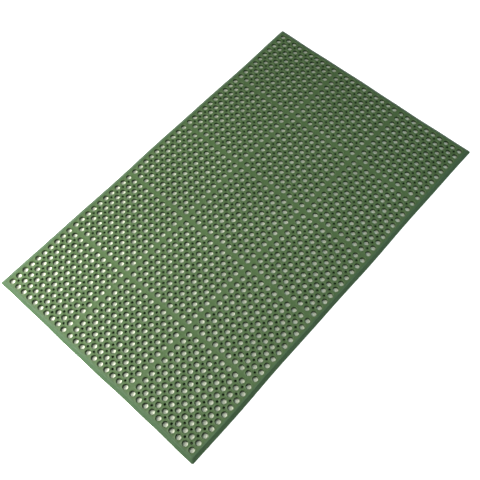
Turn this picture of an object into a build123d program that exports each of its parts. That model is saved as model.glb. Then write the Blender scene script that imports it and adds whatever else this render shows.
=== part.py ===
from build123d import *
import os

# Moulded rubber drainage mat, 3 x 5 perforated panels inside a ramped border.
# Frame: origin at the bottom centre, X along the length, Y across, Z up. Millimetres.

# ---- driving dimensions -------------------------------------------------
COLS = 5                 # panels along the length
ROWS = 3                 # panels across the width
HOLES = 10               # large holes along each side of a panel
PITCH = 29.1             # large hole spacing, both ways
STRIP = 32.4             # hole spacing across a plain strip
HOLE_D = 18.0            # large drain hole
PIN_D = 7.2              # small drain hole, at the centre of each four
RIB_W = 6.0              # rib in the middle of each plain strip
MARGIN = 30.45           # outermost hole centre to the mat's outer edge
THICK = 12.0             # floor to walking surface
SHEET_T = 9.0            # perforated sheet, without the studs under it
STUD_D = 6.0             # drainage stud, foot diameter
STUD_TOP_D = 7.0         # drainage stud where it joins the sheet
LIP = 2.6                # height of the border at its outermost edge
RAMP_W = 12.5            # width of the ramp, seen from above
CORNER_R = 6.0           # rounding of the mat's four corners

# ---- derived ------------------------------------------------------------
STUD_H = THICK - SHEET_T
LAND = (STRIP - RIB_W) / 2                    # outermost hole centre to panel edge
SIDE = (HOLES - 1) * PITCH + 2 * LAND         # one square panel
STEP = SIDE + RIB_W                           # panel to panel
LEN_IN = COLS * SIDE + (COLS - 1) * RIB_W     # inside the border
WID_IN = ROWS * SIDE + (ROWS - 1) * RIB_W
BORDER = MARGIN - LAND
LENGTH = LEN_IN + 2 * BORDER
WIDTH = WID_IN + 2 * BORDER


def at(i, n, step):
    return (i - (n - 1) / 2) * step


def panel():
    """One perforated panel, centred on Z, with its studs as moulded on it."""
    sheet = Rectangle(SIDE, SIDE)
    holes = [Pos(at(i, HOLES, PITCH), at(j, HOLES, PITCH)) * Circle(HOLE_D / 2)
             for i in range(HOLES) for j in range(HOLES)]
    pins = [Pos(at(i, HOLES - 1, PITCH), at(j, HOLES - 1, PITCH)) * Circle(PIN_D / 2)
            for i in range(HOLES - 1) for j in range(HOLES - 1)]
    outline = sheet.face().outer_wire()
    inner = [c.face().outer_wire() for c in holes + pins]
    web = Face(outline, inner)
    body = Solid.extrude(web, Vector(0, 0, SHEET_T))
    body = body.moved(Location((0, 0, STUD_H)))
    stud = Solid.make_cone(STUD_D / 2, STUD_TOP_D / 2, STUD_H)
    studs = [stud.moved(Location((at(i, HOLES - 1, PITCH), at(j, HOLES, PITCH), 0)))
             for i in range(HOLES - 1) for j in range(HOLES)]
    return body.fuse(*studs)


def block(x0, x1, y0, y1, z0, z1):
    return Pos((x0 + x1) / 2, (y0 + y1) / 2, (z0 + z1) / 2) * Box(x1 - x0, y1 - y0, z1 - z0)


def edge(length):
    """A border bar along X with mitred ends. Its outer edge is on Y = 0 and it lies towards +Y."""
    profile = Polyline((0, 0), (0, LIP), (RAMP_W, THICK), (BORDER, THICK), (BORDER, 0), close=True)
    section = Plane.YZ * make_face(profile)
    bar = extrude(section, amount=length / 2, both=True)
    plan = Polyline((-length / 2, 0), (length / 2, 0), (length / 2 - BORDER, BORDER),
                    (-length / 2 + BORDER, BORDER), close=True)
    return bar & extrude(make_face(plan), amount=THICK)


os.makedirs("parts", exist_ok=True)
nodes = {}

one = panel()
for r in range(ROWS):
    for c in range(COLS):
        nodes[f"panel_r{r + 1}c{c + 1}"] = one.moved(
            Location((at(c, COLS, STEP), -at(r, ROWS, STEP), 0)))

for c in range(COLS - 1):
    x = at(c, COLS - 1, STEP)
    nodes[f"cross_rib_{c + 1}"] = block(x - RIB_W / 2, x + RIB_W / 2, -WID_IN / 2, WID_IN / 2, STUD_H, THICK)

for r, name in enumerate(("long_rib_back", "long_rib_front")):
    y = -at(r, ROWS - 1, STEP)
    bars = [block(at(c, COLS, STEP) - SIDE / 2, at(c, COLS, STEP) + SIDE / 2,
                  y - RIB_W / 2, y + RIB_W / 2, STUD_H, THICK) for c in range(COLS)]
    nodes[name] = Compound(children=bars)

outline = extrude(RectangleRounded(LENGTH, WIDTH, CORNER_R), amount=THICK)
long_bar, short_bar = edge(LENGTH), edge(WIDTH)
nodes["edge_front"] = Pos(0, -WIDTH / 2, 0) * long_bar & outline
nodes["edge_back"] = Pos(0, WIDTH / 2, 0) * Rot(0, 0, 180) * long_bar & outline
nodes["edge_right"] = Pos(LENGTH / 2, 0, 0) * Rot(0, 0, 90) * short_bar & outline
nodes["edge_left"] = Pos(-LENGTH / 2, 0, 0) * Rot(0, 0, -90) * short_bar & outline

for name, shape in nodes.items():
    export_step(shape, f"parts/{name}.step")
print(len(nodes), "nodes", round(LENGTH, 2), "x", round(WIDTH, 2), "x", THICK)
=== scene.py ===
import math

import bmesh
import bpy
import numpy as np
from mathutils import Matrix, Vector


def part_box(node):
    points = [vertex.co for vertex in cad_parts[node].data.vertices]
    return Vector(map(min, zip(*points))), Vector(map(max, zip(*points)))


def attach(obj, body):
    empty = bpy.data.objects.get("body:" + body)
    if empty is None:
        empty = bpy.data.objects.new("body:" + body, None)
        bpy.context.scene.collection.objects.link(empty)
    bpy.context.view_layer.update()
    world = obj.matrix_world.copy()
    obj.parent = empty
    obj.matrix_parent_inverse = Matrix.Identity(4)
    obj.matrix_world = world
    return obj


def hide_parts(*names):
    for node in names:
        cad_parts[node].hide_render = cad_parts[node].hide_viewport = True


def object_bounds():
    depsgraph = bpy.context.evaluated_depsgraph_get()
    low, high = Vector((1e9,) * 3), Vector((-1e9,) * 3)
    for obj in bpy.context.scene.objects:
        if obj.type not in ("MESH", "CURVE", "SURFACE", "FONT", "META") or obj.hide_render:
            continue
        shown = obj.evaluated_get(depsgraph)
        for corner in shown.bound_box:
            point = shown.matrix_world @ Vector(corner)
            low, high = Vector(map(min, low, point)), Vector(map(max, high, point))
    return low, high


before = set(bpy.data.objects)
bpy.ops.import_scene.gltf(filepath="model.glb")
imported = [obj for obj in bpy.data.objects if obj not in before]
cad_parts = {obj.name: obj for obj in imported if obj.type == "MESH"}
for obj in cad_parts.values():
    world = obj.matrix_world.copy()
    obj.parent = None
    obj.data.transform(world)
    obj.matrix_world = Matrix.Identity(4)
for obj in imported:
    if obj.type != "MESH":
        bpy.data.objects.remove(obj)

CAD_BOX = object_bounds()
LO, HI = (np.array(list(c), float) for c in CAD_BOX)
LENGTH, WIDTH, TOP = HI[0] - LO[0], HI[1] - LO[1], HI[2]

# Everything below is in metres, in the row frame.
PITCH = 0.0291
HOLES = 10
HOLE_R = 0.0090
PIN_R = 0.0036
FLARE = 0.0009           # how far a small hole's mouth opens beyond its bore
UNDER = 0.0030           # underside of the sheet, on its studs
LIP, RAMP_W, BORDER, CORNER_R = 0.0026, 0.0125, 0.01725, 0.006
RIM_Z = 0.0005           # how far a hole's rim stands up from the sheet


# ---- the sheet's slight waviness ----------------------------------------
def waves(p):
    """Moves points by the mat's own gentle unevenness: under 2 mm in plan and about 1 mm in height."""
    x, y, z = p[:, 0], p[:, 1], p[:, 2]
    u, v = x / (LENGTH / 2), y / (WIDTH / 2)
    dy = 0.0011 * np.sin(2.1 * u * math.pi + 0.6) * v + 0.0006 * np.sin(4.3 * u * math.pi + 1.9) * np.abs(v) ** 3
    dx = 0.0009 * np.sin(1.7 * v * math.pi + 0.9) * u + 0.0004 * np.sin(5.1 * v * math.pi) * np.abs(u) ** 3
    lift = 0.00045 * (1 + np.sin(3.1 * u * math.pi + 1.1 * v + 0.4) * np.cos(2.3 * v * math.pi - 0.7))
    lift += 0.0003 * (1 + np.sin(6.7 * u + 5.3 * v)) / 2
    # the border lies down on the floor, so the lift fades out towards it
    inside = np.clip(np.minimum((LENGTH / 2 - np.abs(x)), (WIDTH / 2 - np.abs(y))) / 0.09, 0, 1)
    lift *= inside * inside * (3 - 2 * inside)
    return np.stack([x + dx, y + dy, z + lift], axis=1)


# ---- mesh helpers --------------------------------------------------------
class Sheet:
    """Collects points, faces and a per-point painted-light value: 1 on a rim's crown (paler bloom with a painted
    highlight), 0 on the field, negative down in a hole and underneath (painted shade).
    """

    def __init__(self):
        self.points, self.faces, self.wear, self.n = [], [], [], 0

    def ring(self, xy, z, wear):
        xy = np.asarray(xy, float)
        zz = np.full(len(xy), float(z)) if np.ndim(z) == 0 else np.asarray(z, float)
        self.points.append(np.column_stack([xy, zz]))
        self.wear.append(np.ones(len(xy)) * wear)
        first, self.n = self.n, self.n + len(xy)
        return np.arange(first, self.n)

    def strip(self, a, b, closed=True):
        n = len(a)
        for k in range(n if closed else n - 1):
            m = (k + 1) % n
            self.faces.append((a[k], a[m], b[m], b[k]))

    def make(self, name, material, slot):
        points = np.concatenate(self.points)
        wear = np.concatenate(self.wear)
        # weld points that coincide
        key = np.round(points / 2e-6 + 0.137).astype(np.int64)
        _, first, back = np.unique(key, axis=0, return_index=True, return_inverse=True)
        back = back.reshape(-1)
        points, wear = points[first], wear[first]
        faces = []
        for f in self.faces:
            g = []
            for i in f:
                i = int(back[i])
                if i not in g:
                    g.append(i)
            if len(g) >= 3:
                faces.append(g)
        points = waves(points)
        mesh = bpy.data.meshes.new(name)
        mesh.from_pydata(points.tolist(), [], faces)
        mesh.validate()
        form = bmesh.new()
        form.from_mesh(mesh)
        bmesh.ops.recalc_face_normals(form, faces=form.faces)
        loose = sum(len(e.link_faces) != 2 for e in form.edges)
        form.to_mesh(mesh)
        form.free()
        if loose:
            print(name, "has", loose, "edges without two faces")
        mesh.update()
        # per-point value that drives the painted highlight on rim crowns and the painted shade in holes, on the sides
        # and underneath
        attribute = mesh.attributes.new("wear", "FLOAT", "POINT")
        if len(mesh.vertices) == len(wear):
            attribute.data.foreach_set("value", wear.astype(np.float32))
        mesh.shade_smooth()
        mesh.set_sharp_from_angle(angle=math.radians(38))
        piece = bpy.data.objects.new(name, mesh)
        bpy.context.scene.collection.objects.link(piece)
        mesh.materials.append(material)
        return piece


SIDE_SEGS, ARC_SEGS = 6, 4


def outline(x0, x1, y0, y1, pins):
    """One cell's boundary about the origin, anticlockwise from the right side's lower end. pins says which of the
    corners (right-top, left-top, left-bottom, right-bottom) are cut by a small hole."""
    a = PIN_R + FLARE
    corners = [(x1, y1, pins[0]), (x0, y1, pins[1]), (x0, y0, pins[2]), (x1, y0, pins[3])]
    into = [((0, -1), (-1, 0)), ((1, 0), (0, -1)), ((0, 1), (1, 0)), ((-1, 0), (0, 1))]
    pts = []
    for k in range(4):
        cx, cy, pin = corners[k]
        px, py, _ = corners[k - 1]
        (ax, ay), (bx, by) = into[k]
        start = (px + into[k - 1][1][0] * a, py + into[k - 1][1][1] * a)
        end = (cx + ax * a, cy + ay * a)
        for s in range(SIDE_SEGS):
            t = s / SIDE_SEGS
            pts.append((start[0] + (end[0] - start[0]) * t, start[1] + (end[1] - start[1]) * t))
        for s in range(ARC_SEGS):
            t = s / ARC_SEGS
            if pin:
                c, n = math.cos(t * math.pi / 2), math.sin(t * math.pi / 2)
                pts.append((cx + a * (ax * c + bx * n), cy + a * (ay * c + by * n)))
            elif t <= 0.5:
                pts.append((cx + ax * a * (1 - 2 * t), cy + ay * a * (1 - 2 * t)))
            else:
                pts.append((cx + bx * a * (2 * t - 1), cy + by * a * (2 * t - 1)))
    return np.array(pts)


# radius, height and painted-light value of the rings of a large hole, from the sheet's top down to its underside:
# positive on the rim's crown for paler bloom with a painted highlight, negative down the bore for painted shade
RINGS = [
    (HOLE_R + 0.00380, TOP, 0.10),
    (HOLE_R + 0.00310, TOP + 0.70 * RIM_Z, 0.8),
    (HOLE_R + 0.00230, TOP + RIM_Z, 1.0),
    (HOLE_R + 0.00150, TOP + 0.10 * RIM_Z, 0.45),
    (HOLE_R + 0.00070, TOP - 0.0009, -0.1),
    (HOLE_R + 0.00000, TOP - 0.0022, -0.5),
    (HOLE_R - 0.00050, TOP - 0.0045, -0.85),
    (HOLE_R - 0.00080, UNDER + 0.0008, -1.0),
    (HOLE_R - 0.00030, UNDER, -1.0),
]


def panel(node, material):
    low, high = (np.array(list(c), float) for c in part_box(node))
    cx, cy = (low[:2] + high[:2]) / 2
    land = (high[0] - low[0] - (HOLES - 1) * PITCH) / 2
    s, h = Sheet(), PITCH / 2
    cache = {}
    for i in range(HOLES):
        for j in range(HOLES):
            left, right = (-land if i == 0 else -h), (land if i == HOLES - 1 else h)
            bottom, top = (-land if j == 0 else -h), (land if j == HOLES - 1 else h)
            pins = (i < HOLES - 1 and j < HOLES - 1, i > 0 and j < HOLES - 1, i > 0 and j > 0, i < HOLES - 1 and j > 0)
            if pins not in cache:
                cache[pins] = outline(left, right, bottom, top, pins)
            edge = cache[pins]
            at = np.array([cx + (i - (HOLES - 1) / 2) * PITCH, cy + (j - (HOLES - 1) / 2) * PITCH])
            angle = np.arctan2(edge[:, 1], edge[:, 0])
            circle = np.column_stack([np.cos(angle), np.sin(angle)])
            last = s.ring(at + edge, TOP, 0.0)
            for r, z, wear in RINGS:
                this = s.ring(at + circle * r, z, wear)
                s.strip(last, this)
                last = this
            # the cell's underside edge carries full painted shade
            this = s.ring(at + edge, UNDER, -1.0)
            s.strip(last, this)
    # the small holes' walls
    quarter = np.arange(4 * ARC_SEGS) * math.pi / (2 * ARC_SEGS)
    round_ = np.column_stack([np.cos(quarter), np.sin(quarter)])
    for i in range(HOLES - 1):
        for j in range(HOLES - 1):
            at = np.array([cx + (i - (HOLES - 2) / 2) * PITCH, cy + (j - (HOLES - 2) / 2) * PITCH])
            last = s.ring(at + round_ * (PIN_R + FLARE), TOP, 0.0)
            # the small holes' bores carry painted shade down to the underside
            for r, z, wear in ((PIN_R + 0.0006, TOP - 0.0002, -0.9), (PIN_R, TOP - 0.0012, -1.0),
                               (PIN_R - 0.0003, UNDER + 0.0040, -1.0), (PIN_R - 0.0022, UNDER + 0.0008, -1.0),
                               (PIN_R - 0.0020, UNDER, -1.0), (PIN_R + FLARE, UNDER, -1.0)):
                this = s.ring(at + round_ * r, z, wear)
                s.strip(last, this)
                last = this
    # the panel's four sides, between its top and its underside
    marks = []
    a = PIN_R + FLARE
    for i in range(HOLES):
        c = (i - (HOLES - 1) / 2) * PITCH
        lo = c - (land if i == 0 else h)
        hi = c + (land if i == HOLES - 1 else h)
        marks += [lo, lo + a / 2]
        marks += [lo + a + (hi - lo - 2 * a) * k / SIDE_SEGS for k in range(SIDE_SEGS + 1)]
        marks += [hi - a / 2]
    marks = np.array(marks + [hi])
    half = (high[0] - low[0]) / 2
    for side in range(4):
        one = np.full(len(marks), -half)
        xy = (np.column_stack([marks, one]), np.column_stack([-one, marks]),
              np.column_stack([-marks, -one]), np.column_stack([one, -marks]))[side] + (cx, cy)
        # the sides run from full painted shade at the underside to none at the top
        s.strip(s.ring(xy, UNDER, -1.0), s.ring(xy, TOP, 0.0), closed=False)
    # studs, with a rounded foot, each a closed form let 0.2 mm into the sheet
    turn = np.arange(14) * math.tau / 14
    round_ = np.column_stack([np.cos(turn), np.sin(turn)])
    for i in range(HOLES - 1):
        for j in range(HOLES):
            at = np.array([cx + (i - (HOLES - 2) / 2) * PITCH, cy + (j - (HOLES - 1) / 2) * PITCH])
            # the studs carry full painted shade all over
            foot = s.ring(at + round_ * 0.0024, 0.0, -1)
            s.faces.append(tuple(foot[::-1]))
            last = foot
            for r, z in ((0.0029, 0.0003), (0.0032, 0.0015), (0.0035, UNDER + 0.0002)):
                this = s.ring(at + round_ * r, z, -1)
                s.strip(last, this)
                last = this
            s.faces.append(tuple(last))
    return s.make("mat_" + node, material, "sheet_rubber")


def bar(s, low, high):
    """A plain bar of the strip, cut into short lengths so that it follows the sheet."""
    long_x = high[0] - low[0] > high[1] - low[1]
    n = max(2, int(round((high[0] - low[0] if long_x else high[1] - low[1]) / 0.01)))
    t = np.linspace(0, 1, n + 1)
    loops = []
    for u in t:
        if long_x:
            x = low[0] + (high[0] - low[0]) * u
            xy = [(x, low[1]), (x, high[1]), (x, high[1]), (x, low[1])]
        else:
            y = low[1] + (high[1] - low[1]) * u
            xy = [(high[0], y), (low[0], y), (low[0], y), (high[0], y)]
        # the bar's lower edges carry full painted shade, its upper edges none
        loops.append(s.ring(xy, np.array([low[2], low[2], high[2], high[2]]), np.array([-1.0, -1.0, 0.0, 0.0])))
    for a, b in zip(loops, loops[1:]):
        s.strip(a, b)
    s.faces.append(tuple(loops[0][::-1]))
    s.faces.append(tuple(loops[-1]))


def ribs(node, material):
    low, high = (np.array(list(c), float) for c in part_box(node))
    s = Sheet()
    if node.startswith("long"):
        for c in range(1, 6):
            a, b = (np.array(list(v), float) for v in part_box(f"panel_r1c{c}"))
            bar(s, np.array([a[0], low[1], low[2]]), np.array([b[0], high[1], high[2]]))
    else:
        bar(s, low, high)
    return s.make("mat_" + node, material, "sheet_rubber")


# inward distance, height and painted-light value of the border's section, from its underside round the ramp to its
# inner side: positive on the rounded crests for paler bloom with a painted highlight, negative towards the floor for
# painted shade
SECTION = [
    (0.0006, 0.0, -1.0), (0.0, 0.0006, -0.4), (0.0, 0.0019, 0.2), (0.0002, 0.0024, 0.6), (0.0007, 0.00295, 0.8),
    (0.0020, 0.00402, 0.35), (0.0050, 0.00626, 0.3), (0.0085, 0.00889, 0.3), (0.0114, 0.01112, 0.45),
    (0.0122, 0.01165, 0.8), (0.0130, 0.01192, 0.8), (0.0140, 0.0120, 0.25), (0.0160, 0.0120, 0.0), (BORDER, 0.0120, 0.0),
    (BORDER, 0.0, -1.0),
]


def edge(node, material):
    """A border bar: the section swept along one side, with half of each rounded corner at its ends."""
    along_x = node in ("edge_front", "edge_back")
    length = LENGTH if along_x else WIDTH
    half, n = length / 2, int(round(length / 0.012))
    turn = {"edge_front": 0, "edge_right": 90, "edge_back": 180, "edge_left": 270}[node]
    away = WIDTH / 2 if along_x else LENGTH / 2
    c, si = round(math.cos(math.radians(turn))), round(math.sin(math.radians(turn)))
    s, rings = Sheet(), []
    for d, z, wear in SECTION:
        t = d / BORDER
        row = []
        for k in range(5):                       # the left end's half corner, from the mitre
            phi = math.radians(45 * (1 - k / 4))
            ox, oy = -half + CORNER_R - CORNER_R * math.sin(phi), CORNER_R - CORNER_R * math.cos(phi)
            row.append((ox + (-half + BORDER - ox) * t, oy + (BORDER - oy) * t))
        a, b = row[-1][0], -row[-1][0]
        row += [(a + (b - a) * k / n, d) for k in range(1, n)]
        row += [(-x, y) for x, y in row[:5][::-1]]
        row = np.array(row)
        y = row[:, 1] - away
        xy = np.column_stack([row[:, 0] * c - y * si, row[:, 0] * si + y * c])
        rings.append(s.ring(xy, z, wear))
    for a, b in zip(rings, rings[1:]):
        s.strip(b, a, closed=False)
    s.strip(rings[0], rings[-1], closed=False)
    s.faces.append(tuple(int(r[0]) for r in rings))
    s.faces.append(tuple(int(r[-1]) for r in rings[::-1]))
    return s.make("mat_" + node, material, "border_rubber")


# ---- materials -----------------------------------------------------------
def rubber(name, base, dust, bloom_and_highlight):
    """Matt moulded rubber: cloudy colour, fine moulding grain, paler bloom with a painted highlight on what stands
    proud, and painted shade darkening the hole walls, sides and underside.
    """
    m = bpy.data.materials.new(name)
    m.use_nodes = True
    nt = m.node_tree
    nodes, links = nt.nodes, nt.links
    bsdf = nodes["Principled BSDF"]
    coords = nodes.new("ShaderNodeTexCoord")

    def noise(scale, detail, rough=0.55):
        t = nodes.new("ShaderNodeTexNoise")
        t.inputs["Scale"].default_value = scale
        t.inputs["Detail"].default_value = detail
        t.inputs["Roughness"].default_value = rough
        links.new(coords.outputs["Object"], t.inputs["Vector"])
        return t

    def ramp(source, low, high, a=0.0, b=1.0):
        r = nodes.new("ShaderNodeMapRange")
        r.inputs["From Min"].default_value = low
        r.inputs["From Max"].default_value = high
        r.inputs["To Min"].default_value = a
        r.inputs["To Max"].default_value = b
        links.new(source, r.inputs["Value"])
        return r.outputs["Result"]

    def mix(factor, a, b, kind="MIX"):
        x = nodes.new("ShaderNodeMix")
        x.data_type, x.blend_type = "RGBA", kind
        links.new(factor, x.inputs["Factor"])
        for socket, value in ((x.inputs[6], a), (x.inputs[7], b)):
            if isinstance(value, tuple):
                socket.default_value = (*value, 1.0)
            else:
                links.new(value, socket)
        return x.outputs[2]

    def maths(kind, a, b):
        x = nodes.new("ShaderNodeMath")
        x.operation = kind
        for socket, value in ((x.inputs[0], a), (x.inputs[1], b)):
            if isinstance(value, (int, float)):
                socket.default_value = value
            else:
                links.new(value, socket)
        return x.outputs[0]

    broad, cloud, speck, grain = noise(3.2, 3), noise(26, 5, 0.6), noise(420, 4, 0.65), noise(1500, 3, 0.7)
    # reads the per-point value: positive for paler bloom with a painted highlight, negative for painted shade
    wear = nodes.new("ShaderNodeAttribute")
    wear.attribute_name = "wear"
    dark = tuple(v * 0.93 for v in base)
    light = tuple(min(1, v * 1.06) for v in base)
    colour = mix(ramp(broad.outputs["Fac"], 0.32, 0.68), dark, light)
    colour = mix(ramp(cloud.outputs["Fac"], 0.35, 0.72, 0.0, 0.42), colour, dust)
    colour = mix(ramp(speck.outputs["Fac"], 0.56, 0.78, 0.0, 0.30), colour, tuple(v * 0.55 for v in base))
    # paler colour on rim crowns and rounded crests: partly rubbed bloom, partly a painted highlight
    up = maths("MULTIPLY", ramp(wear.outputs["Fac"], 0.0, 1.0), ramp(cloud.outputs["Fac"], 0.2, 0.75, 0.35, 0.85))
    colour = mix(up, colour, bloom_and_highlight)
    # painted shade: hole walls, sides, studs and underside darkened towards a deep green where the value goes negative
    down = ramp(wear.outputs["Fac"], 0.0, -1.0, 0.0, 0.95)
    colour = mix(down, colour, (base[0] * 0.10, base[1] * 0.24, base[2] * 0.10))
    links.new(colour, bsdf.inputs["Base Color"])
    rough = maths("ADD", ramp(cloud.outputs["Fac"], 0.3, 0.7, 0.46, 0.58), ramp(speck.outputs["Fac"], 0.3, 0.7, -0.04, 0.06))
    links.new(rough, bsdf.inputs["Roughness"])
    bsdf.inputs["Specular IOR Level"].default_value = 0.28
    height = maths("ADD", maths("MULTIPLY", speck.outputs["Fac"], 0.7), maths("MULTIPLY", grain.outputs["Fac"], 0.3))
    bump = nodes.new("ShaderNodeBump")
    bump.inputs["Strength"].default_value = 0.35
    bump.inputs["Distance"].default_value = 0.0006
    links.new(height, bump.inputs["Height"])
    links.new(bump.outputs["Normal"], bsdf.inputs["Normal"])
    return m


sheet_rubber = rubber("sheet_rubber", (0.056, 0.105, 0.036), (0.064, 0.111, 0.042), (0.084, 0.136, 0.055))
border_rubber = rubber("border_rubber", (0.044, 0.095, 0.039), (0.051, 0.101, 0.046), (0.076, 0.130, 0.062))

for name in sorted(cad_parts):
    if name.startswith("panel"):
        piece, slot = panel(name, sheet_rubber), "sheet_rubber"
    elif name.startswith("edge"):
        piece, slot = edge(name, border_rubber), "border_rubber"
    else:
        piece, slot = ribs(name, sheet_rubber), "sheet_rubber"
    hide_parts(name)
    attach(piece, "root")

# ---- studio --------------------------------------------------------------
mesh = bpy.data.meshes.new("floor")
mesh.from_pydata([(-9, -9, 0), (9, -9, 0), (9, 9, 0), (-9, 9, 0)], [], [(0, 1, 2, 3)])
floor = bpy.data.objects.new("floor", mesh)
floor.location.z = -0.0004
bpy.context.scene.collection.objects.link(floor)
m = bpy.data.materials.new("floor")
m.use_nodes = True
nt = m.node_tree
bsdf = nt.nodes["Principled BSDF"]
bsdf.inputs["Roughness"].default_value = 0.75
coords = nt.nodes.new("ShaderNodeTexCoord")
split = nt.nodes.new("ShaderNodeSeparateXYZ")
nt.links.new(coords.outputs["Object"], split.inputs[0])


def past(axis, half):
    a = nt.nodes.new("ShaderNodeMath"); a.operation = "ABSOLUTE"
    nt.links.new(split.outputs[axis], a.inputs[0])
    r = nt.nodes.new("ShaderNodeMapRange")
    r.inputs["From Min"].default_value = half - 0.010
    r.inputs["From Max"].default_value = half - 0.004
    nt.links.new(a.outputs[0], r.inputs["Value"])
    return r.outputs["Result"]


most = nt.nodes.new("ShaderNodeMath"); most.operation = "MAXIMUM"
nt.links.new(past(0, LENGTH / 2), most.inputs[0])
nt.links.new(past(1, WIDTH / 2), most.inputs[1])
tone = nt.nodes.new("ShaderNodeMix"); tone.data_type = "RGBA"
nt.links.new(most.outputs[0], tone.inputs["Factor"])
tone.inputs[6].default_value = (0.83, 0.87, 0.70, 1)
tone.inputs[7].default_value = (0.90, 0.90, 0.89, 1)
nt.links.new(tone.outputs[2], bsdf.inputs["Base Color"])
bsdf.inputs["Emission Color"].default_value = (1, 1, 1, 1)
glow = nt.nodes.new("ShaderNodeMath"); glow.operation = "MULTIPLY"
nt.links.new(most.outputs[0], glow.inputs[0])
glow.inputs[1].default_value = 0.66
nt.links.new(glow.outputs[0], bsdf.inputs["Emission Strength"])
mesh.materials.append(m)


def lamp(name, place, target, size, power, colour):
    data = bpy.data.lights.new(name, "AREA")
    data.shape, data.size, data.energy, data.color = "DISK", size, power, colour
    ob = bpy.data.objects.new(name, data)
    ob.location = place
    ob.rotation_euler = (Vector(target) - Vector(place)).to_track_quat("-Z", "Y").to_euler()
    ob.visible_camera = False
    bpy.context.scene.collection.objects.link(ob)


lamp("key", (-1.50, 0.85, 1.25), (-0.3, 0.2, 0.0), 0.45, 41, (1.0, 1.0, 0.94))
lamp("soft", (-1.0, 0.35, 1.90), (-0.2, 0.1, 0.0), 1.0, 20, (1.0, 1.0, 0.95))
lamp("back", (-0.60, 1.55, 1.40), (-0.1, 0.3, 0.0), 0.9, 14, (1.0, 1.0, 0.95))
lamp("fill", (0.95, -1.25, 1.75), (0.35, -0.1, 0.0), 0.25, 11, (0.76, 0.97, 1.0))

# a soft dome, brighter from the upper left than from the right
world = bpy.data.worlds.new("studio")
world.use_nodes = True
wn = world.node_tree
way = wn.nodes.new("ShaderNodeTexCoord")
dot = wn.nodes.new("ShaderNodeVectorMath")
dot.operation = "DOT_PRODUCT"
dot.inputs[1].default_value = (-0.60, 0.10, 0.79)
wn.links.new(way.outputs["Generated"], dot.inputs[0])
level = wn.nodes.new("ShaderNodeMapRange")
level.inputs["From Min"].default_value = -0.6
level.inputs["To Min"].default_value = 0.04
level.inputs["To Max"].default_value = 0.40
wn.links.new(dot.outputs["Value"], level.inputs["Value"])
wn.links.new(level.outputs["Result"], wn.nodes["Background"].inputs["Strength"])
wn.nodes["Background"].inputs["Color"].default_value = (0.86, 1.0, 0.97, 1)
bpy.context.scene.world = world
bpy.context.scene.view_settings.view_transform = "Standard"
bpy.context.scene.view_settings.look = "None"

camera = bpy.data.cameras.new("camera")
camera.sensor_width, camera.lens = 36.0, 53.5
camera.clip_start, camera.clip_end = 0.05, 60
eye = bpy.data.objects.new("camera", camera)
right, up, back = Vector((0.66594, -0.74561, -0.02502)), Vector((0.67382, 0.58675, 0.44909)), Vector((-0.32016, -0.31591, 0.89315))
turn = Matrix((right, up, back)).transposed().to_4x4()
eye.matrix_world = Matrix.Translation((-0.888, -0.847, 2.243)) @ turn
bpy.context.scene.collection.objects.link(eye)
bpy.context.scene.camera = eye
